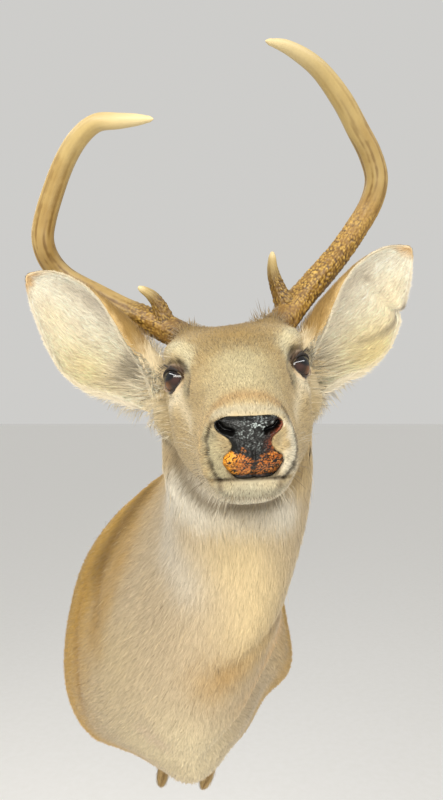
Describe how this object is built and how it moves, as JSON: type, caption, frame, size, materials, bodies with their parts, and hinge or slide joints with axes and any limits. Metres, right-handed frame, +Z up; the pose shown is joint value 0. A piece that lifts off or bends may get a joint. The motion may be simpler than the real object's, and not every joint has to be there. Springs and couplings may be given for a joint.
{
  "type": "deer shoulder mount",
  "caption": "Life-size taxidermy shoulder mount of a young whitetail buck, head turned to its left, with curved antlers, on a flat wooden back board.",
  "frame": {"origin": "centre of the back board's flat rear face, which lies on the wall", "axes": "+Z up the wall, +Y into the wall, -Y out into the room along the deer's gaze, +X to the deer's own left"},
  "size_m": [0.4505, 0.5749, 0.9332],
  "materials": {
    "coat": "short buff deer hair, deeper tan at the shoulders, cream on throat and chin",
    "ear": "cream hair inside, tan velvet behind, darker rims",
    "antler": "polished bone, pale and smooth above, brown and pearled at the base",
    "eye": "glossy dark brown glass eye with a black oval pupil",
    "nose": "black crazed leather, its lower lip worn to orange",
    "hide": "dried rolled rawhide",
    "board": "plain unvarnished softwood panel",
    "hanger": "zinc-plated sawtooth strip"
  },
  "bodies": {
    "root": {"muzzle": "coat", "lower_jaw": "coat", "head": "coat", "neck_upper": "coat", "neck_lower": "coat", "shoulders": "coat", "nose_pad": "nose", "eye_left": "eye", "eye_right": "eye", "ear_left": "ear", "ear_right": "ear", "antler_left_base": "antler", "antler_left_beam": "antler", "antler_left_brow_tine": "antler", "antler_right_base": "antler", "antler_right_beam": "antler", "antler_right_brow_tine": "antler", "hide_tab_left": "hide", "hide_tab_right": "hide", "back_board": "board", "wall_hanger": "hanger"}
  },
  "joints": []
}
